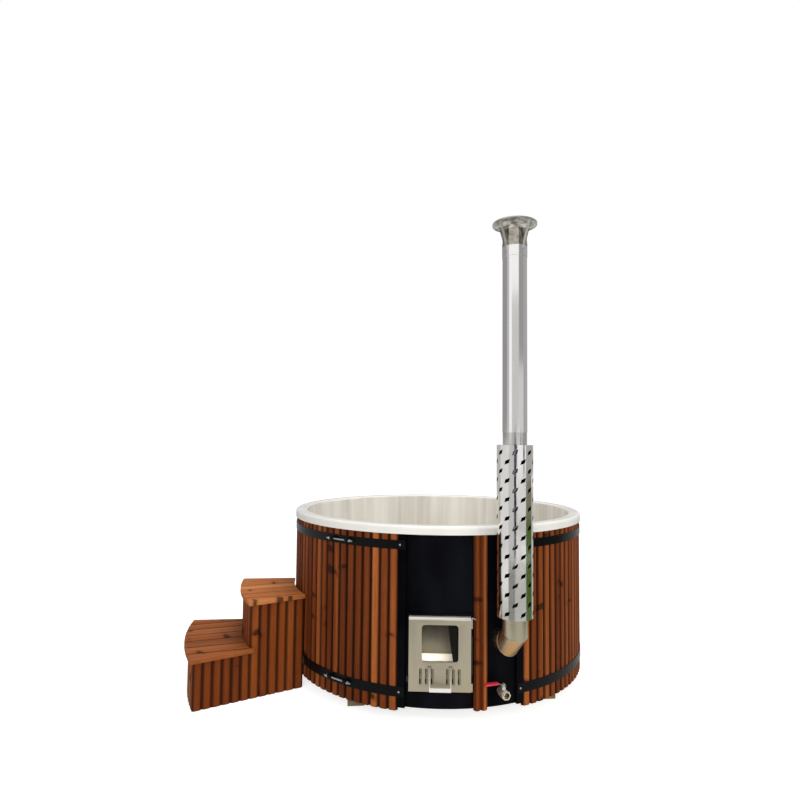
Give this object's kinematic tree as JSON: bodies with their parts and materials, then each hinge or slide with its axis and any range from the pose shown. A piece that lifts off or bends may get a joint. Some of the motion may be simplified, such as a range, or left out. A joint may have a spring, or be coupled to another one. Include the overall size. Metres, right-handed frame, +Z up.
{
  "type": "wood-fired hot tub",
  "caption": "Round wood-clad hot tub with a white moulded shell, built-in wood heater with glazed door, outside chimney, drain valve and a free-standing flight of curved steps.",
  "frame": {"origin": "on the ground under the middle of the round tub, at the underside of the middle base beam", "axes": "+Z up, the fire door faces -Y, the chimney stands to the door's right (+X), the steps are on -X"},
  "size_m": [2.4034, 1.9492, 2.511],
  "materials": {
    "white_shell": "glossy moulded shell",
    "stained_wood": "reddish-brown stain",
    "pale_wood": "bare softwood",
    "black_metal": "satin black",
    "bright_fasteners": "zinc plated",
    "stainless": "brushed",
    "polished_steel": "polished stainless sheet",
    "glass": "clear heat-proof glass",
    "fire_board": "matt cream insulating board",
    "plated_brass": "nickel plated",
    "grey_plastic": "plain",
    "red_grip": "dipped sleeve"
  },
  "bodies": {
    "tub": {"tub_liner": "white_shell", "cladding_boards": "stained_wood", "front_post": "stained_wood", "base_beams": "pale_wood", "base_deck": "pale_wood", "floor_bearers": "pale_wood", "lower_ring": "pale_wood", "upper_ring": "pale_wood", "uprights": "pale_wood", "front_panel_left": "black_metal", "front_panel_right": "black_metal", "edge_strips": "black_metal", "hoop_upper": "black_metal", "hoop_lower": "black_metal", "tensioner_lugs": "black_metal", "flue_baffle": "black_metal", "door_frame": "black_metal", "flue_collar": "black_metal", "tensioner_rods": "bright_fasteners", "tensioner_nuts": "bright_fasteners", "hoop_bolts": "bright_fasteners", "hinge_pin": "bright_fasteners", "catch_bolt": "bright_fasteners", "hinge_lugs": "stainless", "drain_grille": "stainless", "firebox": "stainless", "water_jacket": "stainless", "smoke_box": "stainless", "flow_pipes": "stainless", "flue_spigot": "polished_steel", "flue_elbow": "polished_steel", "chimney_pipe_lower": "polished_steel", "chimney_pipe_upper": "polished_steel", "chimney_guard": "polished_steel", "guard_spacers": "polished_steel", "cap_collar": "polished_steel", "cap_legs": "polished_steel", "cap_cone": "polished_steel", "hearth_board": "fire_board", "valve_body": "plated_brass", "drain_sump": "grey_plastic", "drain_pipe": "grey_plastic"},
    "door": {"firebox_door": "stainless", "door_glass": "glass", "glass_retainer": "stainless", "slider_guides": "stainless"},
    "air_control": {"air_slider": "stainless", "air_handle": "stainless"},
    "catch": {"door_catch": "stainless"},
    "valve_handle": {"valve_stem": "plated_brass", "valve_lever": "stainless", "lever_sleeve": "red_grip", "stem_nut": "bright_fasteners"},
    "steps": {"step_side_near": "stained_wood", "step_side_far": "stained_wood", "step_riser_lower": "stained_wood", "step_riser_upper": "stained_wood", "step_tread_lower": "stained_wood", "step_tread_upper": "stained_wood", "step_frame": "pale_wood"}
  },
  "joints": [
    {"name": "door_hinge", "type": "hinge", "parent": "tub", "child": "door", "pos_m": [0.1562, -0.897, 0.3485], "axis": [0, 0, 1], "range_deg": [0, 110]},
    {"name": "air_slide", "type": "slide", "parent": "door", "child": "air_control", "axis": [1, 0, 0], "range_m": [-0.0073, 0.007]},
    {"name": "catch_turn", "type": "hinge", "parent": "tub", "child": "catch", "pos_m": [-0.16, -0.9095, 0.231], "axis": [0, 1, 0], "range_deg": [0, 90]},
    {"name": "drain_valve_turn", "type": "hinge", "parent": "tub", "child": "valve_handle", "pos_m": [0.31572, -0.8588, 0.15], "axis": [0, 0, 1], "range_deg": [0, 90]},
    {"name": "steps_slide", "type": "slide", "parent": "tub", "child": "steps", "axis": [-0.9351, -0.3543, 0], "range_m": [0, 0.5]}
  ]
}
